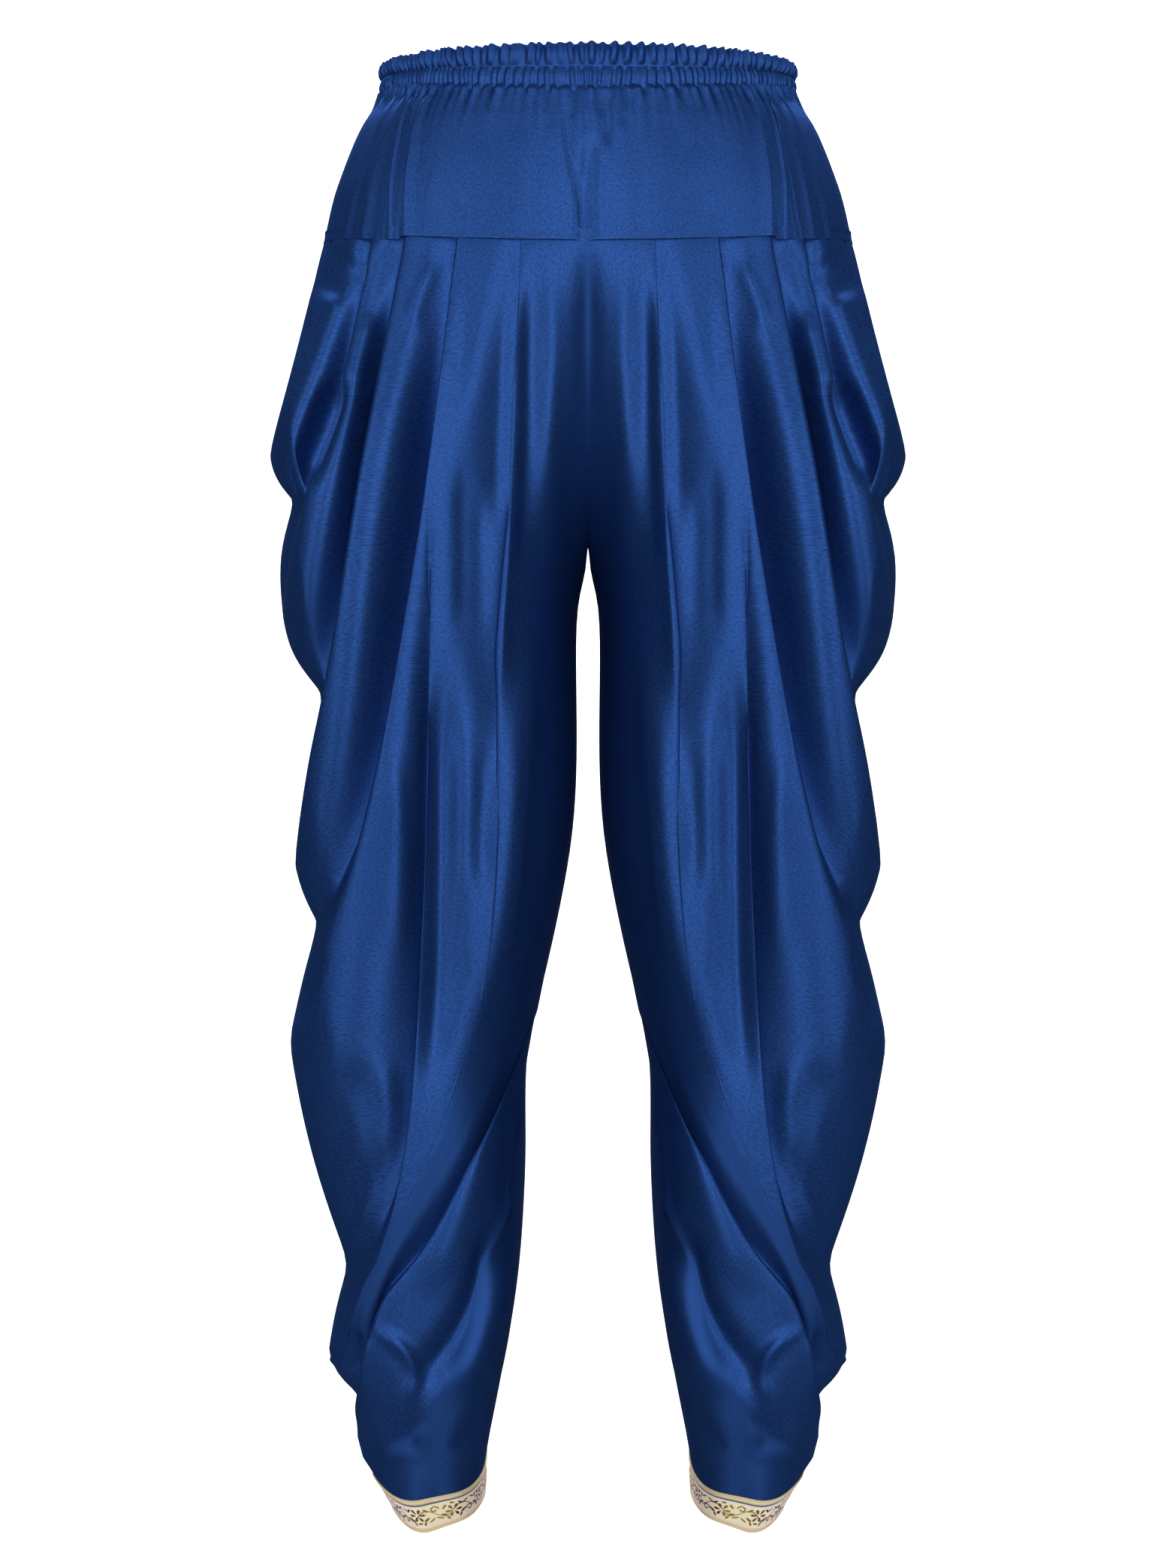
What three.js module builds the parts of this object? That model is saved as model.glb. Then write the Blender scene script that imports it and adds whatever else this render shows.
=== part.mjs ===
// Dhoti pants: satin trousers with an elastic waistband, a smooth hip yoke, legs that are pleated into the yoke
// and hang in cowls at the sides, and a woven border at each ankle.
// Millimetres, +Z up, the front faces -Y. The origin is the middle of the waist opening, at the elastic.
import * as THREE from 'three';

// Cloth
const WALL = 1.5;
const BAND_WALL = 1.8;
const SEAM_GAP = 0.35;

// Waistband
const WAIST_WIDE = 139.5;
const WAIST_FRONT = 95;
const WAIST_BACK = 97;
const GATHERS = 72;

// Yoke
const HEM_FRONT = -107;
const HEM_SIDE = -92;
const YOKE_ROWS = 5;
const PLEAT_STEP = 1.6;
const PLEAT_WIDTH = 0.016;

// Legs
const CROTCH = -309;
const SIDE_TURN = 80;
const SIDE_TURN_SHARE = 0.45;
const YOKE_TURN = 14;
const INNER_POWER = 2.3;
const OUTER_POWER = 2.4;
const OUTER_KEEP = 0.85;
const RISE_POWER = 2.6;
const HALF_COLUMNS = 15;
const START_CROWDING = 1.25;
const BOTTOM_CROWDING = 1.8;
const VALLEY_OUT = 4;
const FLANK_SWELL = 1.5;
const BACK_SWAY = 5;
const SWAY_PER_ROW = 0.3;
const SEAM_START = 172;

// Cuffs
const ANKLE_TILT = 0.2;
const TILT_FROM = -800;
const TILT_OVER = 120;
const CUFF_INNER = { top: 70.5, bottom: 70, height: 18 };
const CUFF_OUTER = { top: 146, bottom: 131.5, height: 24.5 };
const CUFF_NARROWS = 0.92;

// The rows of the waistband: height at the front, how much higher it is at the sides, how far out from the
// waist's line, and how deep the gathers are.
const BAND = [
  { z: 23, lift: 2, out: 0.2, wave: 1.6, scallop: 1.0 },
  { z: 15, lift: 4.5, out: 1.6, wave: 1.4, scallop: 0 },
  { z: 6.5, lift: 8, out: 0.2, wave: 0.5, scallop: 0 },
  { z: -1.5, lift: 11, out: 1.7, wave: 0.9, scallop: 0 },
  { z: -9, lift: 14, out: 1.3, wave: 0.4, scallop: 0 },
];

// The hip yoke's half width and its depths, from the waistband down to the seam with the legs.
const HIP = [
  { z: 6, wide: 141.5, front: 95, back: 97 },
  { z: -5, wide: 147, front: 97.5, back: 101 },
  { z: -15, wide: 153.5, front: 99.5, back: 104 },
  { z: -25, wide: 158.5, front: 101.5, back: 107 },
  { z: -45, wide: 166.5, front: 104.5, back: 112 },
  { z: -66, wide: 173.5, front: 107, back: 116 },
  { z: -92, wide: 178.5, front: 109, back: 120 },
  { z: -110, wide: 180, front: 109.5, back: 121 },
];

// The pressed pleats of the yoke: the share of the way from the middle of the front to the side seam, at the
// waistband and at the yoke's lower edge.
const YOKE_PLEATS = [
  { top: 0.565, bottom: 0.474 },
  { top: 0.63, bottom: 0.535 },
  { top: 0.69, bottom: 0.64 },
  { top: 0.76, bottom: 0.74 },
  { top: 0.85, bottom: 0.86 },
];

// One leg's plain form: how far the inner and outer edges are from the middle, and the half depths.
const LEG = [
  { z: -90, inner: 0, outer: 178.5, front: 109, back: 120 },
  { z: -150, inner: 0, outer: 196, front: 110, back: 123 },
  { z: -243, inner: 0, outer: 217, front: 110, back: 122 },
  { z: -309, inner: 0, outer: 216, front: 107, back: 116 },
  { z: -340, inner: 7, outer: 213, front: 105, back: 113 },
  { z: -370, inner: 8, outer: 210, front: 103, back: 110 },
  { z: -450, inner: 7.6, outer: 205, front: 98, back: 104 },
  { z: -500, inner: 11, outer: 203, front: 94, back: 100 },
  { z: -560, inner: 22, outer: 203, front: 90, back: 96 },
  { z: -625, inner: 37, outer: 204, front: 86, back: 92 },
  { z: -655, inner: 42, outer: 203, front: 84, back: 90 },
  { z: -720, inner: 42.5, outer: 194, front: 79, back: 85 },
  { z: -790, inner: 46.8, outer: 184, front: 73, back: 79 },
  { z: -850, inner: 56, outer: 177, front: 67, back: 72 },
  { z: -900, inner: 67, outer: 158, front: 61, back: 65 },
  { z: -930, inner: 70.5, outer: 146, front: 58, back: 60 },
];

// The leg's folds, from the side of the hip inwards and down. Each crest starts on the yoke, start from the
// middle, or on the inseam at height from. It runs over the front along line, as out and up, to its bottom at the
// side, and rises again over the back. notch is where the cloth turns in above it at the side, tuck is how deep
// the valley outside the crest lies. rows is how many rows of cloth lead up to it, and flank how many lead from
// the valley up to the crest. swell is how far the cloth above it swells out at the side.
const FOLDS = [
  { start: 160, rows: 3, line: [[184, -157], [203, -207]], bottom: [216.5, -239], swell: -2 },
  { start: 142, rows: 3, flank: 2, line: [[165, -208], [189, -277]], bottom: [211, -333],
    notch: [200, -270], tuck: 16, swell: 3.5 },
  { start: 120, rows: 3, flank: 2, line: [[147, -245], [171, -385]], bottom: [199.5, -517],
    notch: [177.5, -403], tuck: 14, swell: 6 },
  { start: 85, rows: 3, flank: 2, line: [[113, -313], [154, -512]], bottom: [203.5, -638],
    notch: [183.5, -557], tuck: 13, swell: 2 },
  { start: 66, rows: 3, flank: 2, line: [[88, -228], [100, -318], [105, -420], [109, -542], [118, -683],
    [129, -734], [153, -770]], bottom: [176.5, -846], notch: [163, -788], tuck: 9, swell: 5 },
  { start: 43, rows: 2, flank: 1, line: [[49, -205], [52, -300], [58, -385], [58, -470], [65, -570],
    [77, -630], [101, -697], [131, -754], [151, -790]], bottom: [173.5, -857.5], notch: [175.5, -852], tuck: 3 },
  { start: 0, rows: 3, line: [[10, -180], [28, -300], [38, -420], [46, -510], [59, -600], [76, -650],
    [101, -707], [131, -763], [151, -799]], bottom: [170.5, -862.5] },
  { from: CROTCH, rows: 4, line: [[25, -400], [34, -500], [51, -600], [76, -668], [101, -716], [131, -769],
    [150, -806]], bottom: [167, -866.5] },
  { from: -340, rows: 1, line: [[20, -400], [30, -500], [48, -598], [76, -674], [101, -719], [131, -772],
    [150, -809]], bottom: [164.5, -869] },
  { from: -470, rows: 2, line: [[20, -515], [40, -590], [57, -643], [77, -685], [101, -725], [131, -776],
    [149, -813]], bottom: [161, -872] },
  { from: -618, rows: 3, flank: 1, line: [[52, -661], [84, -727], [111, -773], [137, -808], [149, -850]],
    bottom: [157.5, -895], notch: [157, -876], tuck: 6 },
  { from: -652, rows: 2, line: [[47, -675], [53, -734], [66, -783], [82, -832], [112, -878]],
    bottom: [157, -907] },
  { from: -835, rows: 4, line: [[67, -862], [92, -893], [124, -905]], bottom: [153.5, -920] },
  { from: -920, rows: 2, line: [[95, -923], [120, -928]], bottom: [146, -931] },
];

// Small curves
const clamp01 = (t) => Math.min(Math.max(t, 0), 1);
const smooth = (t) => clamp01(t) ** 2 * (3 - 2 * clamp01(t));
const mix = (a, b, t) => a + (b - a) * t;
const roundOff = (length, turn) => Math.sqrt(1 - (1 - clamp01(length / turn)) ** 2);
const hemHeight = (x) => mix(HEM_FRONT, HEM_SIDE, clamp01((x / HIP[6].wide) ** 2));
const ankleTilt = (z) => ANKLE_TILT * smooth((TILT_FROM - z) / TILT_OVER);

// The value of one column of a table at height z, on a smooth curve through its rows.
function readTable(rows, key, z) {
  const last = rows.length - 1;
  const below = rows.findIndex((row) => row.z < z);
  const i = Math.min(Math.max(below < 0 ? last - 1 : below - 1, 0), last - 1);
  const slope = (k) => {
    const upper = rows[Math.max(k - 1, 0)];
    const lower = rows[Math.min(k + 1, last)];
    return (lower[key] - upper[key]) / (lower.z - upper.z);
  };
  const step = rows[i + 1].z - rows[i].z;
  const t = clamp01((z - rows[i].z) / step);
  const bend = (1 - t) * step * slope(i) - t * step * slope(i + 1);
  return mix(rows[i][key], rows[i + 1][key], smooth(t)) + t * (1 - t) * bend;
}

// A grid of points in rows. Rows may close on themselves, so a closed row's last point is its first.
function gridFaces(rows, idOf) {
  const faces = [];
  const addFace = (a, b, c) => {
    if (a !== b && b !== c && c !== a) {
      faces.push([a, b, c]);
    }
  };
  for (let row = 0; row + 1 < rows.length; row += 1) {
    for (let i = 0; i + 1 < rows[row].length; i += 1) {
      const across = rows[row + 1][i].distanceTo(rows[row][i + 1]);
      const back = rows[row][i].distanceTo(rows[row + 1][i + 1]);
      const [a, b, c, d] = [idOf(row, i), idOf(row, i + 1), idOf(row + 1, i), idOf(row + 1, i + 1)];
      if (across <= back) {
        addFace(a, c, b);
        addFace(b, c, d);
      } else {
        addFace(a, c, d);
        addFace(a, d, b);
      }
    }
  }
  return faces;
}

// A closed cloth solid: the grid is its outer face, the inner face lies one wall inside it, and rims join them.
// hold keeps an inner point on its own side of the seams.
function clothGeometry(rows, isClosed, wall, hold) {
  const points = [];
  const ids = rows.map((row, r) => row.map((point, i) => {
    if (isClosed(r) && i === row.length - 1) {
      return null;
    }
    points.push(point);
    return points.length - 1;
  }));
  const idOf = (r, i) => (ids[r][i] === null ? ids[r][0] : ids[r][i]);
  const faces = gridFaces(rows, idOf);
  const normals = points.map(() => new THREE.Vector3());
  const faceNormals = faces.map(([a, b, c]) => new THREE.Vector3().crossVectors(
    points[b].clone().sub(points[a]),
    points[c].clone().sub(points[a]),
  ));
  faces.forEach((face, i) => face.forEach((corner) => normals[corner].add(faceNormals[i])));
  normals.forEach((normal) => normal.normalize());
  const lean = points.map(() => 1);
  faces.forEach((face, i) => face.forEach((corner) => {
    lean[corner] = Math.min(lean[corner], normals[corner].dot(faceNormals[i].clone().normalize()));
  }));
  const inner = points.map((point, i) => {
    const depth = wall / Math.max(lean[i], 0.8);
    return hold(point.clone().addScaledVector(normals[i], -depth), point);
  });
  const count = points.length;
  const index = [];
  const edges = new Set();
  for (const [a, b, c] of faces) {
    index.push(a, b, c, c + count, b + count, a + count);
    edges.add(`${a},${b}`).add(`${b},${c}`).add(`${c},${a}`);
  }
  for (const edge of edges) {
    const [a, b] = edge.split(',').map(Number);
    if (!edges.has(`${b},${a}`)) {
      index.push(b, a, a + count, b, a + count, b + count);
    }
  }
  const flat = [...points, ...inner].flatMap((point) => [point.x, point.y, point.z]);
  const geometry = new THREE.BufferGeometry();
  geometry.setAttribute('position', new THREE.Float32BufferAttribute(flat, 3));
  geometry.setIndex(index);
  geometry.computeVertexNormals();
  return geometry;
}

// How deep the leg's plain form is at a place seen from the front.
function formDepth(x, z, key) {
  const inner = readTable(LEG, 'inner', z);
  const outer = readTable(LEG, 'outer', z);
  const drop = smooth((LEG[0].z - z) / (LEG[0].z - CROTCH));
  const fall = clamp01((LEG[0].z - z) / (LEG[0].z - CROTCH)) ** RISE_POWER;
  const middle = (drop * (inner + outer)) / 2;
  const inward = clamp01((middle - x) / Math.max(middle - inner, 1));
  const outward = clamp01((x - middle) / (outer - middle));
  const keep = mix(1, OUTER_KEEP, drop);
  const rise = Math.sqrt(1 - fall * inward ** INNER_POWER);
  return readTable(LEG, key, z) * rise * Math.sqrt(1 - keep * outward ** mix(2, OUTER_POWER, drop));
}

// Evenly crowded points along a smooth line of [out, up] pairs, from the front to the bottom at the side.
function columnShare(i) {
  return 1 - (1 - (i / HALF_COLUMNS) ** START_CROWDING) ** BOTTOM_CROWDING;
}

function spread(pairs) {
  const curve = new THREE.CatmullRomCurve3(pairs.map(([x, z]) => new THREE.Vector3(x, 0, z)), false, 'centripetal');
  curve.arcLengthDivisions = 400;
  const length = curve.getLength();
  const spots = [];
  for (let i = 0; i <= HALF_COLUMNS; i += 1) {
    const t = columnShare(i);
    const point = curve.getPointAt(t);
    const along = curve.getTangentAt(t);
    spots.push({ x: point.x, z: point.z, t, left: (1 - t) * length, aside: [-along.z, along.x] });
  }
  return { spots, length };
}

// The leg's first row: the yoke's seam, from the front round the side.
function seamRow() {
  const angle = Math.acos(SEAM_START / HIP[6].wide);
  const spots = [];
  for (let i = 0; i <= HALF_COLUMNS; i += 1) {
    const t = columnShare(i);
    const x = HIP[6].wide * Math.cos(angle * (1 - t));
    spots.push({ x, z: hemHeight(x) - SEAM_GAP, t, left: (1 - t) * 90, tuck: 0, turn: YOKE_TURN });
  }
  return spots;
}

// A crest's row, and the row of the valley outside it.
function crestRow(fold) {
  const start = fold.from === undefined
    ? [Math.max(fold.start, SEAM_GAP / 2), hemHeight(fold.start) - SEAM_GAP]
    : [Math.max(readTable(LEG, 'inner', fold.from), SEAM_GAP / 2), fold.from];
  const { spots, length } = spread([start, ...fold.line, fold.bottom]);
  const turn = Math.min(SIDE_TURN, SIDE_TURN_SHARE * length);
  return spots.map((spot) => ({ ...spot, tuck: 0, turn }));
}

function valleyRow(fold, crest) {
  return crest.map((spot) => {
    const toNotch = spot.t ** 4;
    const x = spot.x + spot.aside[0] * VALLEY_OUT * (1 - toNotch) + (fold.notch[0] - fold.bottom[0]) * toNotch;
    const z = spot.z + spot.aside[1] * VALLEY_OUT * (1 - toNotch) + (fold.notch[1] - fold.bottom[1]) * toNotch;
    const tuck = fold.tuck * smooth(spot.t / 0.35) * mix(1, 0.5, spot.t ** 4);
    return { ...spot, x, z, tuck };
  });
}

// All rows of one leg, as spots on the front.
function legRows() {
  const rows = [seamRow()];
  const leadTo = (target, steps, swell) => {
    const last = rows[rows.length - 1];
    for (let k = 1; k <= steps; k += 1) {
      const s = k / steps;
      rows.push(target.map((spot, i) => ({
        x: mix(last[i].x, spot.x, s) + swell * Math.sin(Math.PI * s) * spot.t ** 6,
        z: mix(last[i].z, spot.z, s),
        left: mix(last[i].left, spot.left, s),
        turn: mix(last[i].turn, spot.turn, s),
        tuck: mix(last[i].tuck, spot.tuck, smooth(s)),
        t: spot.t,
      })));
    }
  };
  for (const fold of FOLDS) {
    const crest = crestRow(fold);
    if (fold.notch) {
      leadTo(valleyRow(fold, crest), fold.rows, fold.swell || 0);
      leadTo(crest, fold.flank, FLANK_SWELL);
    } else {
      leadTo(crest, fold.rows, fold.swell || 0);
    }
  }
  return rows;
}

// The first spot of a row lies on the yoke's seam, on the rise or on the inseam.
function settleStart(spot) {
  if (spot.x > 1 && spot.z > CROTCH && spot.z > hemHeight(0) - 60) {
    return { ...spot, z: hemHeight(spot.x) - SEAM_GAP };
  }
  if (spot.z <= CROTCH) {
    return { ...spot, x: Math.max(readTable(LEG, 'inner', spot.z), SEAM_GAP / 2) };
  }
  return { ...spot, x: SEAM_GAP / 2 };
}

// One spot of the front or back as a point of cloth.
function legPoint(spot, row, side) {
  const isFront = side < 0;
  const sway = isFront ? 0 : BACK_SWAY * Math.sin(row * SWAY_PER_ROW) * Math.sin(Math.PI * clamp01(1 - spot.left / 200));
  const x = Math.max(spot.x, SEAM_GAP / 2);
  const z = Math.min(spot.z + sway * clamp01(spot.left / 60), hemHeight(x) - SEAM_GAP);
  const depth = formDepth(x, z, isFront ? 'front' : 'back') * roundOff(spot.left, spot.turn);
  const y = side * Math.max(depth - spot.tuck * clamp01(spot.left / 40), 0);
  return new THREE.Vector3(x, y, z + ankleTilt(z) * y);
}

function legGrid() {
  const rows = legRows();
  const isClosed = rows.map((row) => row[0].z <= CROTCH + 0.01);
  const points = rows.map((row, r) => {
    const spots = [settleStart(row[0]), ...row.slice(1)];
    const front = spots.map((spot) => legPoint(spot, r, -1));
    const back = spots.slice(0, -1).map((spot) => legPoint(spot, r, 1));
    if (isClosed[r]) {
      front[0].y = 0;
      back[0].copy(front[0]);
    }
    return [...front, ...back.reverse()];
  });
  return { points, isClosed };
}

// The border at the ankle hangs on from the leg's last row.
function cuffRows(legEdge) {
  return [0, 1 / 3, 2 / 3, 1].map((s) => legEdge.map((point) => {
    const across = clamp01((point.x - CUFF_INNER.top) / (CUFF_OUTER.top - CUFF_INNER.top));
    const low = mix(CUFF_INNER.bottom, CUFF_OUTER.bottom, across);
    const drop = mix(CUFF_INNER.height, CUFF_OUTER.height, across);
    return new THREE.Vector3(
      mix(point.x, low, s),
      point.y * mix(1, CUFF_NARROWS, s),
      point.z - SEAM_GAP - s * drop,
    );
  }));
}

// The waistband, gathered by its elastic in two channels.
function bandRows() {
  return BAND.map((row) => {
    const ring = [];
    for (let i = 0; i <= 2 * GATHERS; i += 1) {
      const angle = (i * Math.PI) / GATHERS;
      const side = Math.sin(angle) ** 2;
      const ripple = i % 2 === 0 ? 1 : -1;
      const out = row.out + row.wave * ripple * (1 + 0.25 * Math.sin(angle * 17));
      const deep = Math.cos(angle) > 0 ? WAIST_FRONT : WAIST_BACK;
      ring.push(new THREE.Vector3(
        (WAIST_WIDE + out) * Math.sin(angle),
        -(deep + out) * Math.cos(angle),
        row.z + row.lift * side + row.scallop * ripple,
      ));
    }
    return ring;
  });
}

// One half of the yoke, with its pressed side pleats. A pleat's edge stands proud and the next panel starts
// underneath it.
function yokeRows(face) {
  const columns = [];
  const edges = [{ top: 0, bottom: 0 }, ...YOKE_PLEATS];
  edges.forEach((edge, k) => {
    const next = edges[k + 1] || { top: 1, bottom: 1 };
    const parts = k === 0 ? 6 : 2;
    for (let i = 0; i <= parts; i += 1) {
      const inset = k === 0 ? 0 : PLEAT_WIDTH * (1 - i / parts);
      const proud = k + 1 < edges.length ? PLEAT_STEP * (i / parts) ** 2 : 0;
      if (k + 1 < edges.length || i > 0 || parts > 0) {
        columns.push({
          top: mix(edge.top + inset, next.top, i / parts),
          bottom: mix(edge.bottom + inset, next.bottom, i / parts),
          proud,
        });
      }
    }
  });
  const both = [...columns.slice(1).reverse().map((c) => ({ ...c, sign: -1 })), ...columns.map((c) => ({ ...c, sign: 1 }))];
  const rows = [];
  for (let r = 0; r <= YOKE_ROWS; r += 1) {
    const v = r / YOKE_ROWS;
    rows.push(both.map((column) => {
      const share = mix(column.top, column.bottom, v);
      const angle = (share * Math.PI) / 2;
      const side = Math.sin(angle) ** 2;
      const top = BAND[4].z + BAND[4].lift * side - SEAM_GAP;
      const bottom = hemHeight(HIP[6].wide * Math.sin(angle));
      const z = mix(top, bottom, v);
      const wide = readTable(HIP, 'wide', z) + column.proud;
      const deep = readTable(HIP, face < 0 ? 'front' : 'back', z) + column.proud;
      const x = Math.sin(angle) * wide * column.sign;
      const y = Math.max(Math.cos(angle) * deep, SEAM_GAP / 2);
      return new THREE.Vector3(face < 0 ? x : -x, face * y, z);
    }));
  }
  return rows;
}

// Materials
const satin = new THREE.MeshStandardMaterial({ color: 0x1f3f86, roughness: 0.42, metalness: 0.0 });
const border = new THREE.MeshStandardMaterial({ color: 0xcdb68c, roughness: 0.5, metalness: 0.25 });

function addMesh(group, name, geometry, material) {
  const mesh = new THREE.Mesh(geometry, material);
  mesh.name = name;
  group.add(mesh);
}

function mirrored(geometry) {
  const copy = geometry.clone();
  const position = copy.getAttribute('position');
  for (let i = 0; i < position.count; i += 1) {
    position.setX(i, -position.getX(i));
  }
  const index = Array.from(copy.getIndex().array);
  for (let i = 0; i < index.length; i += 3) {
    [index[i], index[i + 1]] = [index[i + 1], index[i]];
  }
  copy.setIndex(index);
  copy.computeVertexNormals();
  return copy;
}

const part = new THREE.Group();
part.name = 'dhoti_pants';

const band = bandRows();
const holdBand = (inner, outer) => inner.setZ(outer.z > 15 ? Math.min(inner.z, outer.z) : inner.z);
addMesh(part, 'waistband', clothGeometry(band, () => true, BAND_WALL, (inner, outer) => {
  const side = (outer.x / (WAIST_WIDE + 3)) ** 2;
  const floor = BAND[4].z + BAND[4].lift * side - 0.05;
  return holdBand(inner, outer).setZ(Math.max(inner.z, Math.min(floor, outer.z)));
}), satin);

for (const [name, face] of [['yoke_front', -1], ['yoke_back', 1]]) {
  const rows = yokeRows(face);
  const topEdge = new Set(rows[0]);
  const hem = new Set(rows[YOKE_ROWS]);
  const hold = (inner, outer) => {
    const y = face * Math.max(face * inner.y, SEAM_GAP / 2);
    const z = topEdge.has(outer) || hem.has(outer) ? outer.z : inner.z;
    return inner.set(inner.x, y, z);
  };
  addMesh(part, name, clothGeometry(rows, () => false, WALL, hold), satin);
}

const leg = legGrid();
const ankleEdge = leg.points[leg.points.length - 1];
const ankleSet = new Set(ankleEdge);
const legGeometry = clothGeometry(leg.points, (r) => leg.isClosed[r], WALL, (inner, outer) => {
  const x = Math.max(inner.x, SEAM_GAP / 2);
  const z = ankleSet.has(outer) ? outer.z : Math.min(inner.z, hemHeight(x) - SEAM_GAP);
  return inner.set(x, inner.y, z);
});
const cuff = cuffRows(ankleEdge);
const cuffTop = new Set(cuff[0]);
const cuffGeometry = clothGeometry(cuff, () => true, WALL, (inner, outer) => (
  inner.setZ(cuffTop.has(outer) ? outer.z : inner.z)
));
addMesh(part, 'leg_left', legGeometry, satin);
addMesh(part, 'leg_right', mirrored(legGeometry), satin);
addMesh(part, 'cuff_left', cuffGeometry, border);
addMesh(part, 'cuff_right', mirrored(cuffGeometry), border);

export default part;
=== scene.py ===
# %% [markdown]
# # Dhoti pants in blue satin
# The garment is a pair of loose trousers: an elastic waistband, a smooth hip yoke with pressed side
# pleats, two very wide legs that are pleated into the yoke and fall in cowls at the sides, and a woven
# gold border at each ankle. The frame holds the solids that the cloth hangs on. This script makes the
# cloth itself, piece by piece, in the same place, and gives it its finish, its light and its camera.

# %% Load the frame
import math

import bpy
import numpy as np
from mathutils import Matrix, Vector


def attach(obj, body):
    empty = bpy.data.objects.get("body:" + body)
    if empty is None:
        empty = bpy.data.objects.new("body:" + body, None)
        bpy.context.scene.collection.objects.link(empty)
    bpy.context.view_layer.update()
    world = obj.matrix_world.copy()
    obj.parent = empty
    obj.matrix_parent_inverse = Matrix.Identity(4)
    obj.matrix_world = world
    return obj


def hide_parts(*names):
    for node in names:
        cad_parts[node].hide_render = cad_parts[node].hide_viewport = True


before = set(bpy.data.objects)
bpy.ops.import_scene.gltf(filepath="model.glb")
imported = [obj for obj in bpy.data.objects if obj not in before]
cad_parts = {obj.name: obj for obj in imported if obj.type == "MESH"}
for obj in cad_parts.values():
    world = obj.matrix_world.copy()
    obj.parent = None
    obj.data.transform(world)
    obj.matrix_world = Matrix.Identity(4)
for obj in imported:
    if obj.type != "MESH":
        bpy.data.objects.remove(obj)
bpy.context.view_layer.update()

# %% [markdown]
# ## Sizes and the table of folds
# A maker drapes this leg by hand: each pleat is pinned at the yoke, falls down the front, turns at the
# side and climbs again at the back. So the leg is described by its folds, in millimetres, seen from the
# front. Each row says where a fold starts (out from the middle on the yoke, or a height on the inseam),
# the line it follows, and where it bottoms out at the side. notch is where the cloth turns in above it
# there, tuck is how deep the valley beside it lies, and opens says how much of that valley is open at the
# yoke, where it is fully open, where it ends and where it begins. swell and bulge are how far the cloth
# swells out, and turn is how wide it rounds at the side. The solids use nearly the same folds.

# %% Sizes in millimetres
MM = 0.001
SEAM = 0.06
HEM_FRONT, HEM_SIDE = -107.0, -92.0
HIP_WIDE = 178.5
WAIST_WIDE, WAIST_FRONT, WAIST_BACK = 139.5, 95.0, 97.0
CROTCH = -309.0
SIDE_TURN, SIDE_TURN_SHARE, YOKE_TURN = 68.0, 0.45, 14.0
# how squarely the leg's form rounds off towards the inseam, the calf, the outer side and the rise
INNER_POWER, CALF_POWER, OUTER_POWER, OUTER_KEEP, RISE_POWER = 3.4, 4.5, 2.4, 0.85, 3.4
CALF_FROM, CALF_OVER = -650.0, 120.0
# how far a valley lies beyond its crest where it is open and where it is shut, and how far its flank swells
VALLEY_OUT, VALLEY_SHUT, FLANK_SWELL = -1.5, 5.0, 1.3
TUCK_FROM_EDGE = 28.0
BACK_SWAY = 5.0
SEAM_START = 172.0
ANKLE_TILT, TILT_FROM, TILT_OVER = 0.2, -800.0, 120.0
HALF_COLUMNS = 110
MIRROR = np.array([-1.0, 1.0, 1.0])

# %% The plain form of the hip and of one leg
HIP = {
    "z": [6, -5, -15, -25, -45, -66, -92, -110],
    "wide": [141.5, 147, 153.5, 158.5, 166.5, 173.5, 178.5, 180],
    "front": [95, 97.5, 99.5, 101.5, 104.5, 107, 109, 109.5],
    "back": [97, 101, 104, 107, 112, 116, 120, 121],
}
LEG = {
    "z": [-90, -150, -243, -309, -340, -370, -450, -500, -560, -625, -655, -720, -790, -850, -900, -930],
    "inner": [0, 0, 0, 0, 7, 8, 7.6, 11, 22, 37, 42, 42.5, 46.8, 56, 67, 70.5],
    "outer": [178.5, 196, 217, 216, 213, 210, 205, 203, 203, 204, 203, 194, 184, 177, 158, 146],
    "front": [109, 110, 110, 107, 105, 103, 98, 94, 90, 86, 84, 79, 73, 67, 61, 58],
    "back": [120, 123, 122, 116, 113, 110, 104, 100, 96, 92, 90, 85, 79, 72, 65, 60],
}
print("the leg's form runs from", LEG["z"][0], "to", LEG["z"][-1], "mm")

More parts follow.
